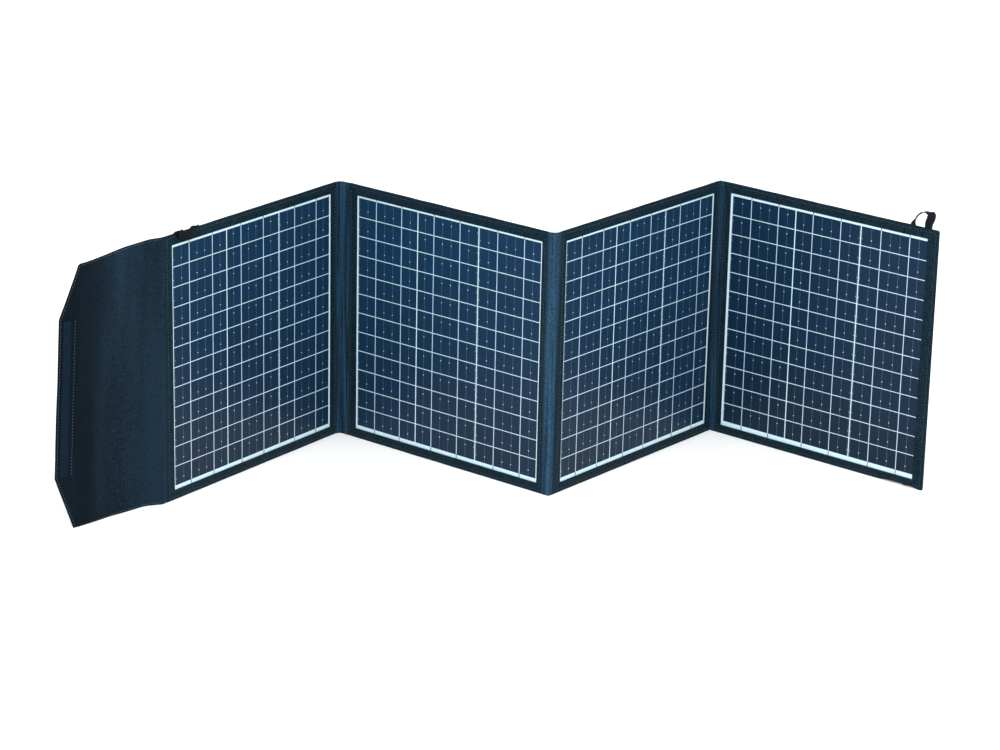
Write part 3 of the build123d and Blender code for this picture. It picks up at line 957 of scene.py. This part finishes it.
class SOLARPANEL_OT_laminates(bpy.types.Operator):
    """Finish the cells, ribbons, backsheets and films"""

    bl_idname = "solarpanel.laminates"
    bl_label = "Laminates"

    def execute(self, context):
        for face in FACES.values():
            build_busbars(face)
            build_film(face)
            name = face.body
            # Each section's cells get their own painted shade, for how the light falls on that section.
            paint(f"{name}_solar_cells", cell_finish(f"Cell, section {face.number}", CELL_SHADES[face.number]))
            paint(f"{name}_backsheet", finish_once("Backsheet", backsheet_finish))
            for ribbons in ("tab_ribbons", "bus_ribbons"):
                paint(f"{name}_{ribbons}", finish_once("Ribbon", ribbon_finish))
            board = finish_once("Stiffener", lambda: moulded_finish("Stiffener", (0.6, 0.6, 0.52), 0.6, 300.0))
            paint(f"{name}_stiffener_board", board)
        return {"FINISHED"}


# ---- Flap -----------------------------------------------------------------------------------
FLAP_SEAM = 45 * MM      # where the flap's two sewn pieces meet, in the middle of its side
FLAP_CORNER = Vector((33, 92)) * MM
FLAP_SAG = 5 * MM        # of its top outer corner
FLAP_LOW_SAG = 2.5 * MM  # of its bottom outer corner
FLAP_HEM = 3.4 * MM      # from its edge to its row of stitches

# How the flap bows: distance from its root, then how far its bottom and its top stand out, all in mm.
FLAP_BOW = (
    (0, 0, 0),
    (12, 1, -2),
    (24, -5, -5),
    (41, -12, -4),
    (78, -13, 0),
    (110, -16, 4),
    (150, -15, 9),
    (184, -16, 12),
    (217, -25, 5),
)


def flap_place(s, v, side):
    """Front (1), back (-1) or middle (0) of the flap: bowed, with soft folds near its root."""
    height = v / FLAP.height
    low, high = smooth_through(FLAP_BOW, s / MM)
    lean = mix(low, high, smooth_step(height) * 0.5 + height * 0.5) * MM
    outer = smooth_step((s / FLAP.length - 0.3) / 0.5)
    sag = -outer * (FLAP_SAG * height**4 + FLAP_LOW_SAG * (1 - height) ** 4)
    flutter = sizes().slack * 1.6 * (wave(s, v, 11.0, 4.0) + 0.5 * wave(s, v, 31.0, 9.0))
    flutter *= smooth_step(s / (25 * MM))
    inset = flap_inset(s, v)
    thick = FLAP.thickness / 2
    rise = thick * math.sqrt(max(0.0, 1 - (1 - min(inset, thick) / thick) ** 2))
    channel = -0.3 * MM * bump(inset - FLAP_HEM, 1.3 * MM) if inset > thick else 0.0
    return FLAP.at(-s, v + sag, -thick + lean + flutter + side * (rise + channel))


def flap_inset(s, v):
    """Distance in from the flap's free outline."""
    top = FLAP.height
    from_end = min(v, top - v)
    from_tip = FLAP.length - s
    cut = Vector((FLAP_CORNER.y, FLAP_CORNER.x)).normalized()
    from_cut = (from_tip * cut.x + from_end * cut.y) - FLAP_CORNER.x * cut.x
    return max(0.0, min(from_end, from_tip, from_cut))


def flap_outline(s, share):
    """Height of the point a share of the way up the flap, where its width is s from the root."""
    past = max(0.0, s - (FLAP.length - FLAP_CORNER.x)) / FLAP_CORNER.x * FLAP_CORNER.y
    return mix(past, FLAP.height - past, share)


def flap_turns(joint):
    """Where a fold of the flap starts and ends to bend, either side of its axis."""
    s = -FLAP.local(JOINTS[joint]["pos_m"]).x
    return FLAP.at(-(s - 8 * MM), 0.0), FLAP.at(-(s + 8 * MM), 0.0)


def flap_sheet(name, low, high, joint, bodies, replaces):
    thick = FLAP.thickness / 2
    insets = rounding(thick, 4) + [FLAP_HEM - 1.4 * MM, FLAP_HEM, FLAP_HEM + 1.4 * MM]
    columns = lines(low, high, 4 * MM, [high - x for x in insets] if high == FLAP.length else [])
    shares = [x / FLAP.height for x in (*insets, 9 * MM)]
    rows = lines(0.0, 1.0, 0.02, shares + [1 - x for x in shares])
    for side, label in ((1, "front"), (-1, "back")):
        bm = sheet_mesh(
            columns, rows, lambda s, share: flap_place(s, flap_outline(s, share), side),
            thickness=0.5 * MM, flip=side > 0,
        )
        cut = bm.loops.layers.uv["Cut"]
        for face in bm.faces:
            for loop in face.loops:
                loop[cut].uv.y *= FLAP.height
        piece = add_piece(
            f"{name}_{label}", bm, flap_fabric(), "fabric", blend=(*bodies, *flap_turns(joint)),
            replaces=replaces if side > 0 else (),
        )


def flap_hem():
    """Points along the flap's sewn hem, from the root's bottom round to its top."""
    wide, tall = FLAP_CORNER
    across, up = Vector((tall, wide)).normalized()
    low = FLAP.length - (FLAP_HEM + wide * across - FLAP_HEM * up) / across
    side = (FLAP_HEM + wide * across - FLAP_HEM * across) / up
    tip = FLAP.length - FLAP_HEM
    corners = [
        (4 * MM, FLAP_HEM), (low, FLAP_HEM), (tip, side),
        (tip, FLAP.height - side), (low, FLAP.height - FLAP_HEM), (4 * MM, FLAP.height - FLAP_HEM),
    ]
    points = []
    for (s0, v0), (s1, v1) in zip(corners, corners[1:]):
        count = max(1, round(math.hypot(s1 - s0, v1 - v0) / (6 * MM)))
        points += [(mix(s0, s1, k / count), mix(v0, v1, k / count)) for k in range(count)]
    return points + [corners[-1]]


def stitch_flap(name, low, high, extra, **tie):
    """Stitches on the part of the hem between two distances from the root, and along extra rows."""
    bm = bmesh.new()
    for side in (1, -1):
        for row in [flap_hem(), *extra]:
            route = [flap_place(s, v, side) + FLAP.n * side * 0.1 * MM for s, v in row]
            add_stitches(
                bm, route, lambda centre, leg: FLAP.n, skip=lambda centre: not low <= -FLAP.local(centre).x < high
            )
    add_piece(name, bm, thread(), "fabric", sharp=80, **tie)


def build_hook_strip():
    """Hook tape sewn along the flap's free edge: a flat tape, and on its outer part the nubbly hooks."""
    low, high = FLAP.span("hook_strip")
    thick = 1.2 * MM
    first, last = -high.x, -low.x
    hooks_from, hooks_to = first + 6 * MM, last - 1 * MM

    def tape(s, v):
        return flap_place(s, v, 1) + FLAP.n * thick

    def hooks(s, v):
        edge = min(s - hooks_from, hooks_to - s, v - low.y, high.y - v)
        pile = 0.6 * MM * noise.noise(Vector((s * 420.0, v * 420.0, 1.0))) * smooth_step(edge / (2 * MM))
        return flap_place(s, v, 1) + FLAP.n * (thick + 0.9 * MM * smooth_step(edge / (1 * MM)) + pile)

    bm = sheet_mesh(lines(first, last, 4 * MM), lines(low.y, high.y, 10 * MM), tape, thickness=thick, flip=True)
    add_piece("flap_hook_tape", bm, flap_fabric(), "fabric", "flap_end")
    bm = sheet_mesh(
        lines(hooks_from, hooks_to, 0.9 * MM), lines(low.y, high.y, 1.3 * MM), hooks, thickness=1.0 * MM, flip=True
    )
    add_piece(
        "flap_hook_strip", bm, finish_once("Hook tape", hook_finish), "hook", "flap_end", replaces=["hook_strip"]
    )


def build_loop_strip():
    """Soft loop tape sewn on the back of the last section."""
    face = FACES[4]
    low, high = face.span("loop_strip")

    def place(u, v):
        edge = min(u - low.x, high.x - u, v - low.y, high.y - v)
        pile = 0.3 * MM * noise.noise(Vector((u * 420.0, v * 420.0, 2.0))) * smooth_step(edge / (2 * MM))
        return face.at(u, v, low.z + 0.2 * MM + 0.6 * MM * bump(edge - 1.6 * MM, 0.7 * MM) - pile)

    bm = sheet_mesh(
        lines(low.x, high.x, 1.2 * MM), lines(low.y, high.y, 2 * MM), place, thickness=1.6 * MM, flip=True
    )
    add_piece("loop_strip_pile", bm, finish_once("Hook tape", hook_finish), "hook", "panel_4", replaces=["loop_strip"])


class SOLARPANEL_OT_flap(bpy.types.Operator):
    """Sew the closing flap with its hook tape, and the loop tape that it closes on"""

    bl_idname = "solarpanel.flap"
    bl_label = "Closing flap"

    def execute(self, context):
        flap_sheet(
            "flap_root", 0.0, FLAP_SEAM, "flap_side_fold", ("panel_1", "flap_side"), ["flap_inner_strip", "flap_side"]
        )
        flap_sheet("flap_cover", FLAP_SEAM, FLAP.length, "flap_end_fold", ("flap_side", "flap_end"), ["flap_end"])
        build_hook_strip()
        build_loop_strip()
        low, high = FLAP.span("hook_strip")
        beside_tape = [(-high.x - 1.4 * MM, v) for v in lines(low.y, high.y, 6 * MM)]
        stitch_flap(
            "flap_root_stitches", 0.0, FLAP_SEAM, [],
            blend=("panel_1", "flap_side", *flap_turns("flap_side_fold")),
        )
        stitch_flap(
            "flap_cover_stitches", FLAP_SEAM, 1.0, [beside_tape],
            blend=("flap_side", "flap_end", *flap_turns("flap_end_fold")),
        )
        return {"FINISHED"}


# ---- Corner loops ---------------------------------------------------------------------------
TAPE_WIDTH = 15 * MM
TAPE_THICKNESS = 1.3 * MM

# Each corner loop of webbing: its section, then its centre line in mm across, up and out, from the
# section's window, and at each point the direction in which the tape is wide.
TAPE_LOOPS = {
    "hang_loop_top_right": (4, (
        (370.8, 432, -1.6, 1, 0, 0), (370.8, 443, -1.6, 0.8, 0.05, 0.2), (375.2, 455, -1.6, 0.36, -0.1, 0.9),
        (379.2, 462.5, -1.6, 0.05, -0.05, 1), (386, 468, -1.6, 0, 0.06, 1), (394.5, 470, -1.6, -0.05, 0.12, 1),
        (402.5, 468.8, -1.6, -0.5, -0.1, 0.85), (404, 462, -1.6, -0.9, -0.3, 0.2),
        (400.2, 452, -1.6, -0.92, 0, 0.05), (399.5, 443, -1.6, -1, 0, 0), (399.5, 432, -1.6, -1, 0, 0),
    )),
    "hang_loop_top_left": (1, (
        (7, 434, -1.6, 1, 0, 0), (7, 443, 1.5, 1, 0, 0), (9, 446, 5.5, 0.85, -0.4, 0.3),
        (17, 441, 8, 0.25, -1, 0.2), (28, 436, 7, 0, -1, -0.15), (38, 438.5, 8, -0.1, -1, 0.2),
        (45, 444.5, 8, -0.6, -0.7, 0.3), (49, 446.5, 5, -0.95, -0.3, 0.1), (49, 443, 1.5, -1, 0, 0),
        (49, 434, -1.6, -1, 0, 0),
    )),
    "hang_loop_bottom_right": (4, (
        (344, -8, -1.6, 1, 0, 0), (346, -11.2, -4, 0.8, 0, 0.5), (354, -12.6, -5, 0.1, 0.04, 1),
        (363, -12, -6, 0, 0, 1), (371, -12.4, -7, 0, 0.02, 1), (379, -12, -6, 0, 0, 1),
        (388, -12.6, -5, -0.1, 0.04, 1), (398, -12, -5, -0.3, 0, 0.9), (404, -11.2, -4, -0.8, 0, 0.5),
        (405, -8, -1.6, -1, 0, 0),
    )),
    "hang_loop_bottom_left": (1, (
        (6, -8, -3, 1, 0, 0), (6, -12.5, -5.5, 0.9, 0, 0.3), (12, -9, -7.5, 0.5, 0.7, 0.3),
        (20, -5, -7.5, 0, 1, 0.1), (32, -5, -7, 0, 1, -0.1), (38, -8, -7.5, -0.4, 0.9, 0.1),
        (41, -12.5, -5.5, -0.9, 0.2, 0.3), (41, -8, -3, -1, 0, 0),
    )),
}


def tape_section():
    """Outline of the webbing's cross-section with rounded edges, as shares of its width and thickness."""
    flat = [-0.44, -0.26, -0.09, 0.09, 0.26, 0.44]
    front = [(x, 0.5) for x in flat]
    back = [(x, -0.5) for x in reversed(flat)]
    return front + [(0.48, 0.35), (0.5, 0.0), (0.48, -0.35)] + back + [(-0.48, -0.35), (-0.5, 0.0), (-0.48, 0.35)]


def build_tape_loop(name):
    number, keys = TAPE_LOOPS[name]
    face = FACES[number]
    rows = [(step, *key) for step, key in enumerate(keys)]
    along = lines(0.0, len(keys) - 1.0, 0.12)
    section = tape_section()

    def centre(t):
        return Vector(smooth_through(rows, t)[:3]) * MM

    def place(step, t):
        x, y = section[round(step) % len(section)]
        tangent = (centre(t + 0.05) - centre(t - 0.05)).normalized()
        wide = Vector(smooth_through(rows, t)[3:])
        wide = (wide - tangent * wide.dot(tangent)).normalized()
        cup = 2.0 * MM * x * x * math.sin(t * 2.4)
        point = centre(t) + wide * x * TAPE_WIDTH + tangent.cross(wide) * (y * TAPE_THICKNESS + cup)
        return face.at(point.x, point.y, point.z)

    bm = sheet_mesh([float(k) for k in range(len(section) + 1)], along, place)
    cut = bm.loops.layers.uv["Cut"]
    for polygon in bm.faces:
        for loop in polygon.loops:
            x = section[round(loop[cut].uv.x) % len(section)][0]
            loop[cut].uv = (x * TAPE_WIDTH, loop[cut].uv.y * 9 * MM)
    bmesh.ops.remove_doubles(bm, verts=bm.verts[:], dist=0.001 * MM)
    bmesh.ops.holes_fill(bm, edges=[edge for edge in bm.edges if edge.is_boundary], sides=0)
    bmesh.ops.recalc_face_normals(bm, faces=bm.faces[:])
    piece = add_piece(
        f"{name}_tape", bm, finish_once("Webbing", webbing_finish), "webbing", face.body, replaces=[name]
    )
    if name == "hang_loop_top_left":
        tuple(face.n)
        tuple(face.at(28 * MM, 437 * MM))
        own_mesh(piece)


class SOLARPANEL_OT_loops(bpy.types.Operator):
    """Fold the webbing loops at the corners"""

    bl_idname = "solarpanel.loops"
    bl_label = "Corner loops"

    def execute(self, context):
        for name in TAPE_LOOPS:
            build_tape_loop(name)
        return {"FINISHED"}


# ---- Junction box ---------------------------------------------------------------------------
class SOLARPANEL_OT_junction_box(bpy.types.Operator):
    """Finish the junction box on the back"""

    bl_idname = "solarpanel.junction_box"
    bl_label = "Junction box"

    def execute(self, context):
        box = moulded_finish("Moulded box", (0.020, 0.021, 0.024), 0.5)
        paint("junction_box_base", box)
        paint("junction_box_lid", box)
        paint("cable_gland", moulded_finish("Gland nylon", (0.012, 0.012, 0.013), 0.4, 600.0))
        paint("junction_box_screws", metal_finish("Plated steel", (0.62, 0.62, 0.60), 0.3))
        paint("diode_board", moulded_finish("Circuit board", (0.010, 0.085, 0.040), 0.4, 400.0))
        paint("terminal_block", moulded_finish("Terminal block", (0.30, 0.31, 0.32), 0.5, 500.0))
        return {"FINISHED"}


# ---- Stage ----------------------------------------------------------------------------------
CAMERA_FROM_WINDOW = Vector((0.2513, -5.4321, 1.9893))   # from the second window's lower left corner
CAMERA_PITCH = math.radians(19.13)
CAMERA_ROLL = math.radians(1.26)
CAMERA_LENS = 118.8


def build_camera():
    data = bpy.data.cameras.new("Camera")
    data.lens = CAMERA_LENS
    data.clip_end = 100.0
    camera = bpy.data.objects.new("Camera", data)
    bpy.context.scene.collection.objects.link(camera)
    forward = Vector((0.0, math.cos(CAMERA_PITCH), -math.sin(CAMERA_PITCH)))
    right = Vector((1.0, 0.0, 0.0))
    up = right.cross(forward)
    across = right * math.cos(CAMERA_ROLL) + up * math.sin(CAMERA_ROLL)
    upward = up * math.cos(CAMERA_ROLL) - right * math.sin(CAMERA_ROLL)
    turn = Matrix((across, upward, -forward)).transposed().to_4x4()
    camera.matrix_world = Matrix.Translation(FACES[2].at(0.0, 0.0) + CAMERA_FROM_WINDOW) @ turn
    bpy.context.scene.camera = camera


def add_light(name, position, target, size, power, tint):
    data = bpy.data.lights.new(name, "AREA")
    data.shape = "RECTANGLE"
    data.size, data.size_y = size
    data.energy = power
    data.color = tint
    light = bpy.data.objects.new(name, data)
    light.location = position
    light.rotation_euler = (Vector(target) - Vector(position)).to_track_quat("-Z", "Y").to_euler()
    bpy.context.scene.collection.objects.link(light)


class SOLARPANEL_OT_stage(bpy.types.Operator):
    """Set up the floor, the soft light and the camera"""

    bl_idname = "solarpanel.stage"
    bl_label = "Stage"

    def execute(self, context):
        scene = context.scene
        scene.view_settings.view_transform = "Standard"
        world = bpy.data.worlds.new("Studio")
        world.use_nodes = True
        world.node_tree.nodes["Background"].inputs["Color"].default_value = (0.97, 0.99, 1.0, 1.0)
        world.node_tree.nodes["Background"].inputs["Strength"].default_value = 0.95
        scene.world = world
        bm = bmesh.new()
        bmesh.ops.create_grid(bm, x_segments=1, y_segments=1, size=30.0)
        mesh = bpy.data.meshes.new("Floor")
        bm.to_mesh(mesh)
        bm.free()
        floor = bpy.data.objects.new("Floor", mesh)
        scene.collection.objects.link(floor)
        finish = Finish("Floor")
        finish.set(Roughness=0.9, Specular_IOR_Level=0.1, Emission_Color=(1.0, 1.0, 1.0, 1.0), Emission_Strength=0.12)
        finish.tint(colours().floor, finish.texture("ShaderNodeTexNoise", 3.0).outputs["Fac"], 0.995, 1.005)
        mesh.materials.append(finish.material)
        add_light("Front softbox", (0.6, -5.2, 3.6), (0, 0, 0.2), (2.4, 1.6), 260.0, (0.97, 0.99, 1.0))
        add_light("Overhead softbox", (0.0, -0.4, 4.2), (0, 0, 0), (5.0, 4.0), 90.0, (1.0, 1.0, 1.0))
        build_camera()
        return {"FINISHED"}


# ---- Add-on ---------------------------------------------------------------------------------
class SOLARPANEL_PT_sidebar(bpy.types.Panel):
    """Lists the parts of the solar panel"""

    bl_label = "Solar Panel"
    bl_idname = "SOLARPANEL_PT_sidebar"
    bl_space_type = "VIEW_3D"
    bl_region_type = "UI"
    bl_category = "Solar Panel"

    def draw(self, context):
        for group in (context.scene.solar_panel_sizes, context.scene.solar_panel_colours):
            box = self.layout.box()
            for name in group.__annotations__:
                box.prop(group, name)
        for operator in OPERATORS:
            self.layout.operator(operator.bl_idname)


OPERATORS = (
    SOLARPANEL_OT_stage,
    SOLARPANEL_OT_covers,
    SOLARPANEL_OT_spines,
    SOLARPANEL_OT_laminates,
    SOLARPANEL_OT_flap,
    SOLARPANEL_OT_loops,
    SOLARPANEL_OT_junction_box,
)
CLASSES = (SolarPanelSizes, SolarPanelColours, *OPERATORS, SOLARPANEL_PT_sidebar)


def register():
    for cls in CLASSES:
        bpy.utils.register_class(cls)
    bpy.types.Scene.solar_panel_sizes = PointerProperty(type=SolarPanelSizes)
    bpy.types.Scene.solar_panel_colours = PointerProperty(type=SolarPanelColours)


def unregister():
    del bpy.types.Scene.solar_panel_colours
    del bpy.types.Scene.solar_panel_sizes
    for cls in reversed(CLASSES):
        bpy.utils.unregister_class(cls)


def main():
    register()
    bpy.ops.solarpanel.stage()
    bpy.ops.solarpanel.covers()
    bpy.ops.solarpanel.spines()
    bpy.ops.solarpanel.laminates()
    bpy.ops.solarpanel.flap()
    bpy.ops.solarpanel.loops()
    bpy.ops.solarpanel.junction_box()


if __name__ == "__main__":
    main()
